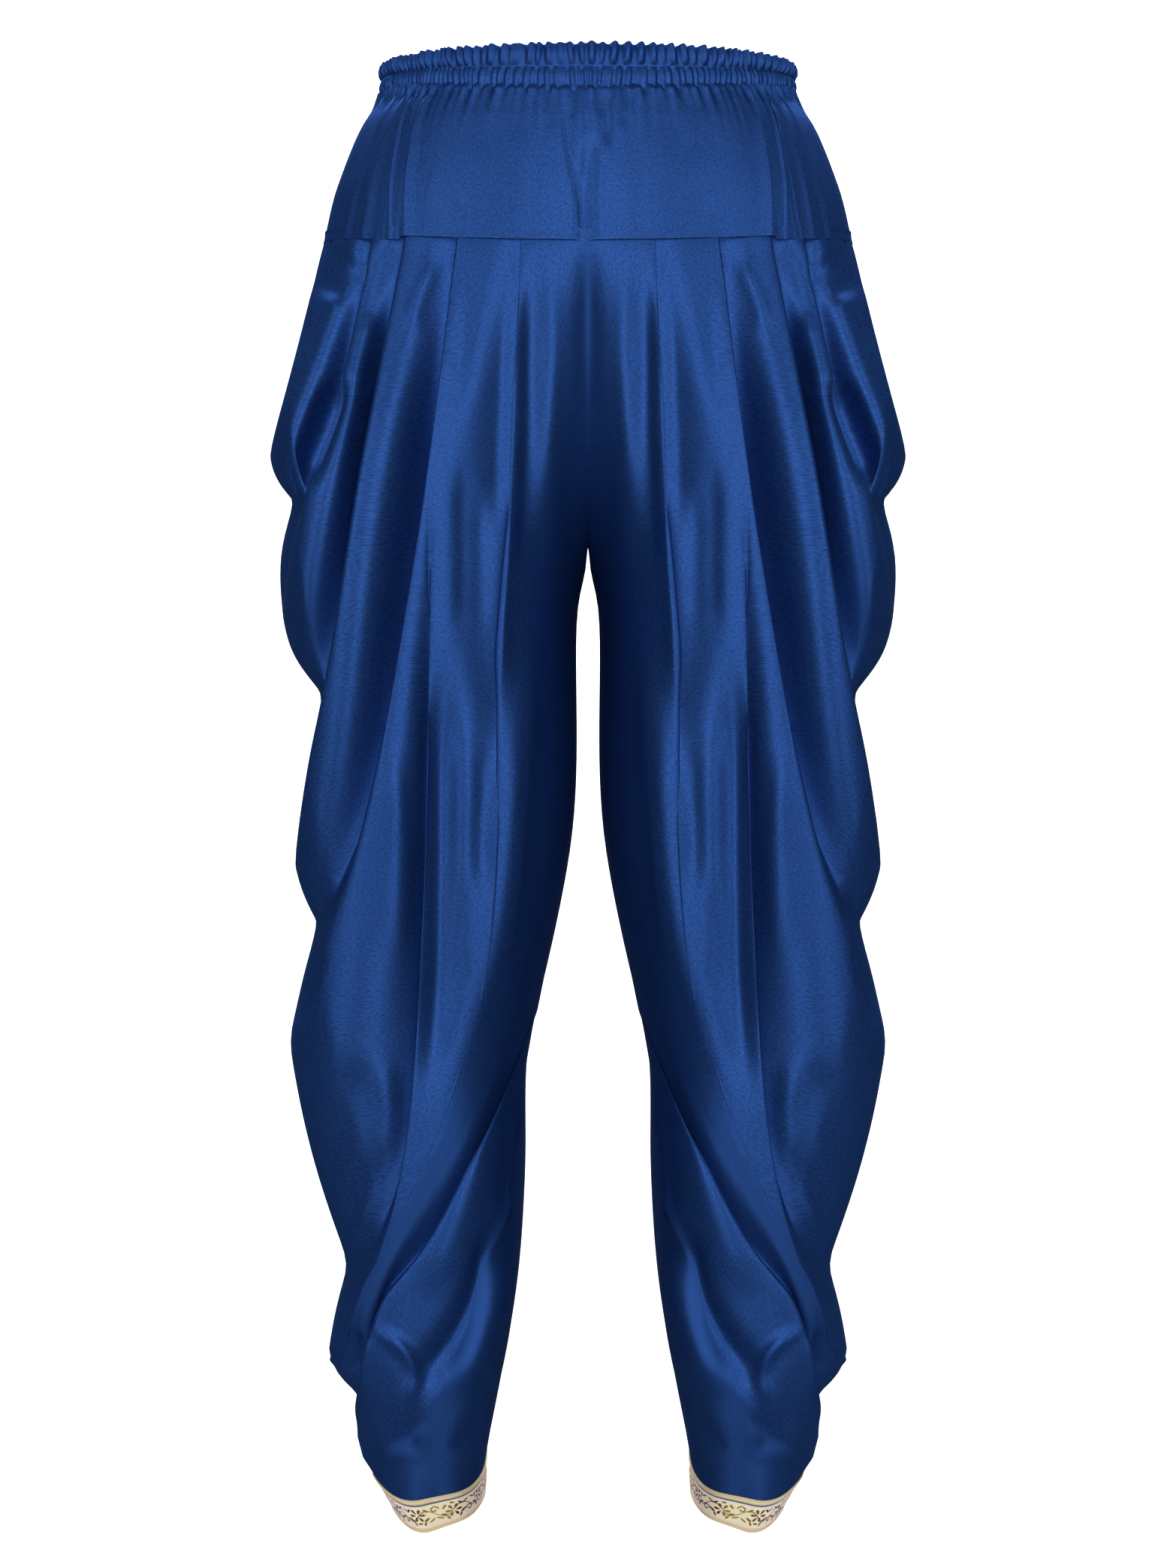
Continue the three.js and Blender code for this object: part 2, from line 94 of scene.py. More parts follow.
# %% The folds of one leg
FOLDS = [
    dict(start=160, rows=20, line=[(184, -157), (203, -207)], bottom=(216.5, -239), swell=-2, turn=46),
    dict(start=142, rows=24, flank=11, line=[(165, -208), (184, -268), (193, -315)], bottom=(207, -352),
         notch=(200, -270), tuck=34, swell=3.5, bulge=6, turn=52, opens=(0.25, 0.55, 2.0)),
    dict(start=120, rows=20, flank=9, line=[(147, -245), (171, -385)], bottom=(199.5, -517),
         notch=(177.5, -403), tuck=27, swell=6),
    dict(start=85, rows=22, flank=9, line=[(113, -313), (154, -512)], bottom=(203.5, -638),
         notch=(183.5, -557), tuck=25, swell=2),
    dict(start=66, rows=20, flank=8, line=[(88, -228), (100, -318), (105, -420), (109, -542), (118, -683),
         (126, -732), (135, -765), (150, -803)], bottom=(176.5, -846), notch=(163, -788), tuck=14, swell=5,
         opens=(0.0, 0.6, 2.0, 0.22)),
    dict(start=43, rows=18, flank=7, line=[(49, -205), (52, -300), (58, -385), (58, -470), (65, -570),
         (77, -630), (98, -692), (122, -748), (146, -797)], bottom=(173.5, -857.5),
         notch=(175.5, -852), tuck=6, opens=(0.5, 0.15, 0.5)),
    dict(start=0, rows=16, line=[(10, -180), (28, -300), (38, -420), (46, -510), (59, -600), (76, -650),
         (101, -707), (131, -763), (151, -799)], bottom=(170.5, -862.5)),
    dict(from_z=CROTCH, rows=16, line=[(25, -400), (34, -500), (51, -600), (76, -668), (101, -716),
         (131, -769), (150, -806)], bottom=(167, -866.5)),
    dict(from_z=-340, rows=4, line=[(20, -400), (30, -500), (48, -598), (76, -674), (101, -719),
         (131, -772), (150, -809)], bottom=(164.5, -869)),
    dict(from_z=-470, rows=10, line=[(20, -515), (40, -590), (57, -643), (77, -685), (101, -725),
         (131, -776), (149, -813)], bottom=(161, -872)),
    dict(from_z=-618, rows=12, flank=6, line=[(52, -661), (84, -727), (111, -773), (137, -808),
         (149, -850)], bottom=(157.5, -895), notch=(157, -876), tuck=8),
    dict(from_z=-652, rows=12, line=[(47, -675), (53, -734), (66, -783), (82, -832), (112, -878)],
         bottom=(157, -907)),
    dict(from_z=-835, rows=20, line=[(67, -862), (92, -893), (124, -905)], bottom=(153.5, -920)),
    dict(from_z=-920, rows=10, line=[(95, -923), (120, -928)], bottom=(146, -931)),
]
print("folds on one leg:", len(FOLDS), "with a valley:", sum("notch" in fold for fold in FOLDS))


# %% [markdown]
# ## Curves
# Everything below rests on three small tools: a soft step, a smooth curve through a table's rows, and
# points spread along a smooth line. NumPy works on a whole grid of cloth at once, which keeps dense
# meshes quick.

# %% Soft steps and tables
def clamp01(t):
    return np.clip(t, 0.0, 1.0)


def smooth(t):
    t = clamp01(t)
    return t * t * (3 - 2 * t)


def mix(a, b, t):
    return a + (b - a) * t


def round_off(length, turn):
    return np.sqrt(np.maximum(1 - (1 - clamp01(length / turn)) ** 2, 0))


def hem_height(x):
    return mix(HEM_FRONT, HEM_SIDE, clamp01((x / HIP_WIDE) ** 2))


def read_table(table, key, z):
    heights, values = np.array(table["z"], float), np.array(table[key], float)
    last = len(heights) - 1
    z = np.asarray(z, float)
    i = np.clip(np.searchsorted(-heights, -z, side="right") - 1, 0, last - 1)
    above, below = np.clip(np.arange(last + 1) - 1, 0, last), np.clip(np.arange(last + 1) + 1, 0, last)
    slope = (values[below] - values[above]) / (heights[below] - heights[above])
    step = heights[i + 1] - heights[i]
    t = clamp01((z - heights[i]) / step)
    bend = (1 - t) * step * slope[i] - t * step * slope[i + 1]
    return mix(values[i], values[i + 1], smooth(t)) + t * (1 - t) * bend


print("half way down the yoke the hip is", round(2 * float(read_table(HIP, "wide", -50.0))), "mm wide")


# %% Smooth lines
def smooth_line(pairs, per_part=48):
    """Dense points of a smooth line through the pairs, on the curve that the solids use."""
    p = np.array(pairs, float)
    p = np.vstack([2 * p[0] - p[1], p, 2 * p[-1] - p[-2]])
    t = np.linspace(0, 1, per_part, endpoint=False)[:, None]
    out = []
    for a, b, c, d in zip(p[:-3], p[1:-2], p[2:-1], p[3:]):
        ab, bc, cd = (math.sqrt(np.linalg.norm(v)) for v in (b - a, c - b, d - c))
        at_b = ((b - a) / ab - (c - a) / (ab + bc) + (c - b) / bc) * bc
        at_c = ((c - b) / bc - (d - b) / (bc + cd) + (d - c) / cd) * bc
        out.append(b + at_b * t + (-3 * b + 3 * c - 2 * at_b - at_c) * t**2
                   + (2 * b - 2 * c + at_b + at_c) * t**3)
    out.append(p[-2][None, :])
    return np.vstack(out)


def spread(pairs, shares):
    """Points at the given shares of a smooth line's length, with the direction square to it."""
    dense = smooth_line(pairs)
    steps = np.linalg.norm(np.diff(dense, axis=0), axis=1)
    run = np.concatenate([[0], np.cumsum(steps)])
    where = shares * run[-1]
    x, z = np.interp(where, run, dense[:, 0]), np.interp(where, run, dense[:, 1])
    along = np.gradient(dense, axis=0)
    along /= np.linalg.norm(along, axis=1)[:, None]
    ax, az = np.interp(where, run, along[:, 0]), np.interp(where, run, along[:, 1])
    return x, z, -az, ax, run[-1]


def waver(t, seed, size=1.0):
    """A soft irregular wave between about -1 and 1, the same each time for the same seed."""
    rng = np.random.default_rng(seed)
    total = np.zeros_like(np.asarray(t, float))
    for k in range(1, 6):
        total = total + np.sin(t * size * k * rng.uniform(0.7, 1.3) + rng.uniform(0, 6.3)) / k**0.7
    return total / 2.4


print("the fifth fold's line is", round(spread(FOLDS[4]["line"], np.array([0.0, 1.0]))[4]), "mm long")


# %% [markdown]
# ## From a grid of points to cloth
# Satin is thin, so each piece is a dense sheet of faces with no filling. Small creases are pushed in or
# out along the sheet's own normals before the mesh is made, the way a wrinkle moves real cloth. Each
# sheet also carries the distance along and across it, in metres, for the weave.

# %% Grid helpers
def grid_normals(points):
    across = np.gradient(points, axis=1)
    down = np.gradient(points, axis=0)
    normal = np.cross(down, across)
    return normal / np.maximum(np.linalg.norm(normal, axis=2), 1e-9)[:, :, None]


def soften(rows, times):
    """Averages each row with its neighbours."""
    rows = rows.copy()
    for _ in range(times):
        rows[1:-1] = 0.25 * rows[:-2] + 0.5 * rows[1:-1] + 0.25 * rows[2:]
    return rows


def line_distance(x, z, path):
    """Distance from each point to a line, positive on its outer side, and how far along the line it lies."""
    path = np.asarray(path, float)
    lengths = np.linalg.norm(np.diff(path, axis=0), axis=1)
    starts = np.concatenate([[0], np.cumsum(lengths)])
    best = np.full(x.shape, 1e9)
    where, side = np.zeros(x.shape), np.zeros(x.shape)
    for k, (a, b) in enumerate(zip(path[:-1], path[1:])):
        d = b - a
        t = clamp01(((x - a[0]) * d[0] + (z - a[1]) * d[1]) / (d @ d))
        far = np.hypot(x - a[0] - t * d[0], z - a[1] - t * d[1])
        near = far < best
        best = np.where(near, far, best)
        where = np.where(near, (starts[k] + t * lengths[k]) / starts[-1], where)
        side = np.where(near, np.sign(d[0] * (z - a[1]) - d[1] * (x - a[0])), side)
    return best, side, where


def crease(x, z, path, depth, outer, inner, tail=0.3):
    """A soft trough, or a ridge where depth is negative. It fades towards its ends, and each side of it has a
    width of its own."""
    push = np.zeros(x.shape)
    low, high = np.min(path, axis=0), np.max(path, axis=0)
    reach = 3 * max(outer, inner)
    box = (x > low[0] - reach) & (x < high[0] + reach) & (z > low[1] - reach) & (z < high[1] + reach)
    far, side, along = line_distance(x[box], z[box], smooth_line(path, 4))
    fade = smooth(along / tail) * smooth((1 - along) / tail)
    push[box] = -depth * np.exp(-((far / np.where(side > 0, outer, inner)) ** 2)) * fade
    return push


# %% Make a sheet of cloth
def make_sheet(node, points, material, closed_rows=None, flip=False, place=None):
    """Builds the cloth of one CAD node from a grid of points in millimetres."""
    name = node + "_cloth"
    rows, columns = points.shape[:2]
    ids = np.arange(rows * columns).reshape(rows, columns)
    if closed_rows is not None:
        ids[closed_rows, -1] = ids[closed_rows, 0]
    a, b = ids[:-1, :-1].ravel(), ids[:-1, 1:].ravel()
    c, d = ids[1:, :-1].ravel(), ids[1:, 1:].ravel()
    quads = np.stack([a, b, d, c] if flip else [a, c, d, b], axis=1)
    used, new = np.unique(quads, return_inverse=True)
    quads = new.reshape(quads.shape)
    flat = points.reshape(-1, 3)[used] * MM
    mesh = bpy.data.meshes.new(name)
    faces = [[v for i, v in enumerate(q) if v != q[i - 1]] for q in quads.tolist()]
    mesh.from_pydata(flat.tolist(), [], [f for f in faces if len(f) > 2])
    mesh.update()
    piece = bpy.data.objects.new(name, mesh)
    bpy.context.scene.collection.objects.link(piece)
    mesh.materials.append(material)
    mesh.polygons.foreach_set("use_smooth", [True] * len(mesh.polygons))
    if place is None:
        side = np.linalg.norm(np.diff(points, axis=1), axis=2) * MM
        drop = np.linalg.norm(np.diff(points, axis=0), axis=2) * MM
        place = (np.concatenate([np.zeros((rows, 1)), np.cumsum(side, axis=1)], axis=1),
                 np.concatenate([np.zeros((1, columns)), np.cumsum(drop, axis=0)], axis=0))
    u, v = place
    loops = np.empty(len(mesh.loops), np.int32)
    mesh.loops.foreach_get("vertex_index", loops)
    layer = mesh.uv_layers.new(name="cloth")
    uv = np.stack([u.ravel()[used], v.ravel()[used]], axis=1)[loops]
    layer.data.foreach_set("uv", uv.ravel().astype(np.float32))
    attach(piece, "root")
    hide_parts(node)
    print(name, "faces:", len(mesh.polygons))
    return piece


# %% [markdown]
# ## Shader maths
# Cloth finishes are worked out from distances on the cloth, so a weave or a border keeps its size
# wherever the sheet goes. The class below wraps one output of a node, and lets plain arithmetic build the
# node tree.

# %% Shader maths class
class Value:
    """One output socket of a material's node tree that can be added, multiplied and compared."""

    def __init__(self, tree, socket):
        self.tree, self.socket = tree, socket

    def math(self, operation, *others):
        node = self.tree.nodes.new("ShaderNodeMath")
        node.operation = operation
        for slot, value in zip(node.inputs, (self, *others)):
            self.feed(slot, value)
        return Value(self.tree, node.outputs[0])

    def feed(self, slot, value):
        if isinstance(value, Value):
            self.tree.links.new(value.socket, slot)
        else:
            slot.default_value = value

    def node(self, kind, settings=None, output=0, **inputs):
        """Any other node: its settings are set first, then its inputs by name."""
        node = self.tree.nodes.new(kind)
        for key, value in (settings or {}).items():
            setattr(node, key, value)
        for key, value in inputs.items():
            self.feed(node.inputs[key.replace("_", " ")], value)
        return Value(self.tree, node.outputs[output])

    def blend(self, low, high):
        """A colour between low and high, by this value."""
        node = self.tree.nodes.new("ShaderNodeMix")
        node.data_type = "RGBA"
        self.feed(node.inputs["Factor"], self)
        self.feed(node.inputs[6], low)
        self.feed(node.inputs[7], high)
        return Value(self.tree, node.outputs[2])

    def step(self, low, high):
        """0 below low, 1 above high, and soft between them."""
        return self.node("ShaderNodeMapRange", {"interpolation_type": "SMOOTHSTEP"},
                         Value=self, From_Min=low, From_Max=high)

    def __add__(self, other): return self.math("ADD", other)
    def __radd__(self, other): return self.math("ADD", other)
    def __sub__(self, other): return self.math("SUBTRACT", other)
    def __rsub__(self, other): return (self * -1.0) + other
    def __mul__(self, other): return self.math("MULTIPLY", other)
    def __rmul__(self, other): return self.math("MULTIPLY", other)
    def __truediv__(self, other): return self.math("DIVIDE", other)
    def __abs__(self): return self.math("ABSOLUTE")


# %% Colours and a blank finish
def linear(red, green, blue, alpha=1.0):
    """A screen colour, 0 to 255, as the linear colour that the renderer uses."""
    return tuple((c / 255 / 12.92) if c < 10.3 else ((c / 255 + 0.055) / 1.055) ** 2.4
                 for c in (red, green, blue)) + (alpha,)


def start_material(name):
    material = bpy.data.materials.new(name)
    material.use_nodes = True
    tree = material.node_tree
    shader = next(n for n in tree.nodes if n.type == "BSDF_PRINCIPLED")
    place = tree.nodes.new("ShaderNodeUVMap")
    place.uv_map = "cloth"
    split = tree.nodes.new("ShaderNodeSeparateXYZ")
    tree.links.new(place.outputs[0], split.inputs[0])
    across, down = (Value(tree, split.outputs[k]) for k in (0, 1))
    return material, shader, Value(tree, place.outputs[0]), across, down


# %% [markdown]
# ## The satin
# Satin floats long warp threads over the face, so it reflects light in a broad tinted sheen, bright on
# the crests and nearly black in the folds. A partly metallic shader tints that sheen blue. Fine threads
# and a faint slub break it up, at the cloth's true size.

# %% Satin
def make_satin():
    material, shader, place, across, down = start_material("satin")
    slub = place.node("ShaderNodeTexNoise", Vector=place, Scale=60.0, Detail=3.0)
    cloud = place.node("ShaderNodeTexNoise", Vector=place, Scale=9.0, Detail=2.0)
    grain = place.node("ShaderNodeTexNoise", Vector=place, Scale=620.0, Detail=2.0)
    speck = slub * 0.2 + cloud * 0.3 + grain * 2.0 - 0.75
    tint = speck.blend(linear(30, 61, 119), linear(47, 87, 160))
    tint.feed(shader.inputs["Base Color"], tint)
    rough = cloud * 0.06 + 0.44
    rough.feed(shader.inputs["Roughness"], rough)
    shader.inputs["Metallic"].default_value = 0.7
    shader.inputs["Specular IOR Level"].default_value = 0.25
    shader.inputs["Specular Tint"].default_value = (0.25, 0.45, 0.9, 1)
    threads = (across * 9000.0).math("SINE") * 0.3 + (down * 5200.0).math("SINE") * 0.2 + grain * 3.0 + slub
    bump = threads.node("ShaderNodeBump", Height=threads, Strength=0.2, Distance=0.0001)
    bump.feed(shader.inputs["Normal"], bump)
    return material


satin = make_satin()
print("satin is ready")


# %% [markdown]
# ## The legs
# Each leg is one sheet. Its rows are the lines of the folds: down the front, round the bottom of the cowl
# at the side, and up the back. Between two crests the cloth sinks into a valley and climbs a steep flank
# to the next crest, because a cowl is slack cloth held up at both ends.

# %% One leg's rows
def half_shares():
    t = np.linspace(0, 1, HALF_COLUMNS + 1)
    return 1 - (1 - t**1.15) ** 1.35


def first_row(shares):
    angle = math.acos(SEAM_START / HIP_WIDE)
    x = HIP_WIDE * np.cos(angle * (1 - shares))
    return dict(x=x, z=hem_height(x) - SEAM, left=(1 - shares) * 90, turn=np.full_like(x, YOKE_TURN),
                tuck=np.zeros_like(x))


def crest_row(fold, shares):
    if "start" in fold:
        start = (max(fold["start"], SEAM), float(hem_height(fold["start"])) - SEAM)
    else:
        start = (max(float(read_table(LEG, "inner", fold["from_z"])), SEAM), fold["from_z"])
    x, z, ax, az, length = spread([start, *fold["line"], fold["bottom"]], shares)
    turn = np.full_like(x, min(fold.get("turn", SIDE_TURN), SIDE_TURN_SHARE * length))
    return dict(x=x, z=z, left=(1 - shares) * length, turn=turn, tuck=np.zeros_like(x)), ax, az


def valley_row(fold, crest, ax, az, shares):
    to_notch = shares**4
    dx, dz = fold["notch"][0] - fold["bottom"][0], fold["notch"][1] - fold["bottom"][1]
    seam_share, full, ends, begins = (*fold.get("opens", (0.3, 0.3, 2.0)), 0.0)[:4]
    depth = mix(seam_share, 1, smooth((shares - begins) / (full - begins)))
    opened = clamp01(3.5 * depth)
    beneath = mix(VALLEY_SHUT, VALLEY_OUT, opened) * (1 - to_notch)
    x = crest["x"] + ax * beneath + dx * to_notch
    z = crest["z"] + az * beneath + dz * to_notch
    tuck = fold["tuck"] * depth * mix(1, 0.5, to_notch)
    tuck = tuck * (1 - smooth((shares - ends + 0.15) / 0.15))
    return {**crest, "x": x, "z": z, "tuck": tuck}, opened


def leg_rows(shares):
    rows = [first_row(shares)]

    def lead_to(target, steps, swell, ease, aside=None):
        last = rows[-1]
        for k in range(1, steps + 1):
            s = k / steps
            row = {key: mix(last[key], target[key], s) for key in ("x", "z", "left", "turn")}
            wave = math.sin(math.pi * s)
            row["x"] = row["x"] + swell * wave * shares**6
            if aside is not None:
                roll = FLANK_SWELL * wave * (1 - shares**4)
                row["x"], row["z"] = row["x"] + aside[0] * roll, row["z"] + aside[1] * roll
            row["tuck"] = mix(last["tuck"], target["tuck"], float(smooth(s**ease)))
            rows.append(row)

    for fold in FOLDS:
        crest, ax, az = crest_row(fold, shares)
        if "notch" in fold:
            valley, opened = valley_row(fold, crest, ax, az, shares)
            lead_to(valley, fold["rows"], fold.get("swell", 0), 1.6)
            lead_to(crest, fold["flank"], fold.get("bulge", 1.5), 1.0, (ax * opened, az * opened))
        else:
            lead_to(crest, fold["rows"], fold.get("swell", 0), 1.0)
    return rows


# %% One leg's grid
def form_depth(x, z, key):
    inner, outer = read_table(LEG, "inner", z), read_table(LEG, "outer", z)
    share = (LEG["z"][0] - z) / (LEG["z"][0] - CROTCH)
    drop, fall = smooth(share), clamp01(share) ** RISE_POWER
    middle = drop * (inner + outer) / 2
    inward = clamp01((middle - x) / np.maximum(middle - inner, 1))
    outward = clamp01((x - middle) / (outer - middle))
    square = mix(INNER_POWER, CALF_POWER, smooth((CALF_FROM - z) / CALF_OVER))
    rise = np.sqrt(np.maximum(1 - fall * inward**square, 0))
    round_side = np.sqrt(np.maximum(1 - mix(1, OUTER_KEEP, drop) * outward ** mix(2, OUTER_POWER, drop), 0))
    return read_table(LEG, key, z) * rise * round_side


def settle_start(row):
    x, z = row["x"][0], row["z"][0]
    if x > 1 and z > CROTCH and z > hem_height(0) - 60:
        row["z"][0] = hem_height(x) - SEAM
    elif z <= CROTCH:
        row["x"][0] = max(float(read_table(LEG, "inner", z)), SEAM / 2)
    else:
        row["x"][0] = SEAM / 2


def leg_grid():
    shares = half_shares()
    rows = leg_rows(shares)
    for row in rows:
        settle_start(row)
    closed = np.array([row["z"][0] <= CROTCH + 0.01 for row in rows])
    grid = {key: np.array([row[key] for row in rows]) for key in ("x", "z", "left", "turn", "tuck")}
    phase = np.arange(len(rows))[:, None] * 0.046
    halves = []
    for side, key in ((-1, "front"), (1, "back")):
        left = grid["left"]
        sway = 0 if side < 0 else BACK_SWAY * np.sin(phase) * np.sin(np.pi * clamp01(1 - left / 200))
        x = np.maximum(grid["x"], SEAM / 2)
        z = np.minimum(grid["z"] + sway * clamp01(left / 60), hem_height(x) - SEAM)
        depth = form_depth(x, z, key) * round_off(left, grid["turn"])
        y = side * np.maximum(depth - grid["tuck"] * clamp01(left / TUCK_FROM_EDGE), 0)
        tilt = ANKLE_TILT * smooth((TILT_FROM - z) / TILT_OVER)
        halves.append(np.stack([x, y, z + tilt * y], axis=2))
    front, back = halves
    front[closed, 0, 1] = 0
    back[closed, 0] = front[closed, 0]
    return np.concatenate([front, back[:, -2::-1]], axis=1), closed


leg_points, leg_closed = leg_grid()
print("one leg's grid:", leg_points.shape[0], "rows of", leg_points.shape[1])

# %% [markdown]
# The small creases are listed as well: each is a line over the leg, a depth, and the widths of
# its outer and inner side, in millimetres. A ridge has a negative depth. The back has its own set, as the
# cloth never creases twice alike.

# %% The front's creases
FRONT_CREASES = [
    # the flat of the front, beside the rise
    ([(0, -100), (0, -180), (0, -260), (0, -345)], 6, 32, 32),
    ([(35, -113), (37, -148), (38, -187), (38, -226), (39, -264), (40, -302), (40, -341)], 4.5, 6.5, 12),
    ([(24, -113), (24, -172), (25, -225), (26, -292)], -1.4, 7, 7),
    ([(54, -118), (56, -170), (58, -220), (60, -275), (62, -330)], 3.2, 24, 6),
    ([(0, -90), (0, -172), (0, -260), (0, -330)], 3, 7, 7),
    ([(77, -124), (80, -162), (84, -196), (89, -230)], 1.4, 7, 8),
    ([(81, -245), (81, -294), (81, -342), (84, -372)], 2, 6, 9),
    ([(56, -264), (56, -313), (58, -367), (56, -416)], -3, 10, 7),
    ([(70, -265), (69, -323), (70, -367)], 1.5, 6, 6),
    ([(99, -116), (112, -146), (117, -170)], -2, 5, 6),
    # the upper cowls
    ([(150, -112), (164, -126), (174, -142)], 3, 13, 11),
    ([(158, -190), (170, -220), (182, -250), (194, -268)], 6, 14, 8),
    ([(130, -100), (138, -128), (146, -165)], 3, 7, 7),
    # the edges of the second and the fourth fold, at the outline
    ([(194, -262), (200, -296), (205, -326), (206, -350)], 3.5, 5, 2.5),
    ([(174, -560), (182, -586), (190, -612), (196, -630)], 6, 6, 3),
    # the long hollow inside the fifth fold, and the soft rolls of the thigh
    ([(93, -367), (95, -416), (96, -465), (96, -514), (97, -563), (99, -603), (103, -648), (108, -682)],
     8, 9, 12),
    ([(67, -430), (68, -470), (70, -499), (67, -539)], 1.6, 6, 6),
    ([(70, -461), (64, -457), (57, -451)], -0.7, 1.6, 1.6),
    ([(84, -406), (82, -455), (84, -504), (87, -554), (88, -598)], -1.6, 9, 9),
    ([(55, -391), (50, -440), (52, -490), (57, -539), (65, -584), (75, -624), (85, -653)], -2.6, 10, 8),
    ([(79, -524), (84, -564), (82, -603)], 1.5, 4, 4),
    ([(38, -345), (41, -415), (43, -465), (46, -505), (51, -550), (57, -590), (64, -624)], -3.5, 14, 8),
    ([(130, -431), (124, -480), (124, -539), (126, -593)], -2.5, 10, 7),
    # the side of the knee
    ([(151, -640), (157, -668), (164, -697), (168, -722)], 4, 12, 12),
    ([(137, -638), (132, -677), (138, -717)], -3, 10, 8),
    ([(137, -713), (149, -727), (156, -742), (165, -759)], 7, 4, 4),
    ([(143, -738), (156, -753), (160, -766)], -4, 5, 5),
    # the calf
    ([(64, -690), (80, -733), (95, -768), (111, -805)], -3, 8, 12),
    ([(42, -655), (47, -682), (50, -712), (53, -742), (60, -766), (65, -787), (71, -807)], -2.5, 2.5, 4),
    ([(60, -745), (66, -775), (75, -806), (91, -834), (106, -851), (122, -864)], 10, 9, 9),
    ([(56, -770), (64, -810), (76, -845), (92, -872)], -5, 12, 12),
    ([(46, -688), (51, -722), (56, -751)], 2.5, 5, 4),
    # above the ankle
    ([(145, -819), (136, -827), (125, -833), (118, -842), (115, -854), (119, -867), (127, -880)], -4, 4, 4),
    ([(146, -821), (148, -836), (149, -855), (147, -876)], -3, 2.5, 4),
    ([(152, -824), (154, -842), (154, -861)], 7, 6, 4),
    ([(110, -878), (119, -894), (113, -911)], 2, 6, 6),
    ([(140, -882), (137, -902), (126, -919)], -2.5, 8, 8),
    ([(72, -875), (79, -894), (92, -912)], 2, 7, 7),
]


# %% Crease and make the legs
def back_creases():
    """The back's creases: cousins of the front's, each moved and softened by its own amount."""
    moved = []
    for k, (path, depth, outer, inner) in enumerate(FRONT_CREASES):
        dx, dz = 3.5 * math.sin(2.1 * k), 9 * math.cos(1.3 * k) - 4
        if k % 7 != 3 and path[0][1] < -109:
            moved.append(([(max(x + dx, 2), z + dz) for x, z in path], depth * (0.75 + 0.2 * math.sin(k)),
                          outer * 1.15, inner * 1.15))
    return moved


def add_creases(points):
    normal = grid_normals(points)
    push = np.zeros(points.shape[:2])
    for side, creases in ((-1, FRONT_CREASES), (1, back_creases())):
        near = smooth((side * points[:, :, 1] - 2) / 14)
        for path, depth, outer, inner in creases:
            push += near * crease(points[:, :, 0], points[:, :, 2], path, depth, outer, inner)
    push = push * smooth((hem_height(points[:, :, 0]) + 1 - points[:, :, 2]) / 12)
    hold = smooth(points[:, :, 0] / 12)
    normal[:, :, 0] *= np.where(points[:, :, 2] > CROTCH - 20, hold, 1)
    return points + normal * push[:, :, None]


def tuck_in(hem):
    """Points on the hem, moved 6 mm up and onto the inside of the yoke."""
    x = np.where(hem[:, 0] < 4, -0.3, hem[:, 0])
    z = hem_height(x) + 6
    wide = read_table(HIP, "wide", z)
    deep = np.where(hem[:, 1] < 0, read_table(HIP, "front", z), read_table(HIP, "back", z))
    turn = np.arctan2(x / wide, hem[:, 1] / deep)
    return np.stack([np.sin(turn) * (wide - 1.5), np.cos(turn) * (deep - 1.5), z], axis=1)


leg_points = soften(leg_points, 2)
leg_edge = leg_points[-1].copy()
leg_points = add_creases(leg_points)
leg_points[:, :, 0] = np.maximum(leg_points[:, :, 0], SEAM / 2)
at_hem = leg_points[:, 0, 2] > hem_height(leg_points[:, 0, 0]) - 2
at_seam = ~leg_closed & ~at_hem
for end in (0, -1):
    leg_points[at_seam, end, 0] = -0.3
    leg_points[at_hem, end] = tuck_in(leg_points[at_hem, end])
leg_points[0] = tuck_in(leg_points[0])
leg_points[-1] = leg_edge
legs = [make_sheet("leg_left", leg_points, satin, leg_closed),
        make_sheet("leg_right", leg_points * MIRROR, satin, leg_closed, flip=True)]


# %% [markdown]
# ## The yoke
# The yoke is the flat panel over the hips. Five pleats on each half are pressed towards the side, so each
# panel's edge folds under and the next one starts beneath it. The elastic pulls its top into short
# gathers, and its lower edge is turned under over the tops of the legs.

# %% Yoke rows
BAND_FOOT, BAND_FOOT_LIFT = -9.0, 14.0
PLEATS = [(0.53, 0.467), (0.594, 0.514), (0.645, 0.625), (0.70, 0.705), (0.80, 0.825)]
PLEAT_PROUD = 1.15
PLEAT_FOLD = [(-0.6, PLEAT_PROUD), (0.1, PLEAT_PROUD), (0.25, 0.95), (0.0, 0.8),
              (-2.5, 0.65), (-3.0, 0.45), (-2.5, 0.3), (0.2, 0.1)]
YOKE_WIDE, YOKE_DEEP = 165.0, 107.0


def yoke_columns():
    """Shares at the top and bottom, an offset along the cloth and a height over the form, for half a yoke."""
    columns = []
    edges = [(0.0, 0.0), *PLEATS, (1.0, 1.0)]
    for k in range(len(edges) - 1):
        here, there = np.array(edges[k]), np.array(edges[k + 1])
        last = k + 2 == len(edges)
        reach = min(10.0, 95 * (there[1] - here[1]) - 0.5)
        start, end = (3.0 if k else 0.0), (0.0 if last else -reach)
        for s in np.linspace(0, 1, int(120 * (there[1] - here[1])) + 6):
            columns.append((*mix(here, there, s), mix(start, end, s), 0.0))
        if not last:
            columns += [(*there, -reach * (1 - s), PLEAT_PROUD * smooth(s) ** 1.5)
                        for s in np.linspace(0.15, 0.9, 6)]
            columns += [(*there, offset, proud) for offset, proud in PLEAT_FOLD]
    return np.array(columns)


print("columns in half a yoke:", len(yoke_columns()))


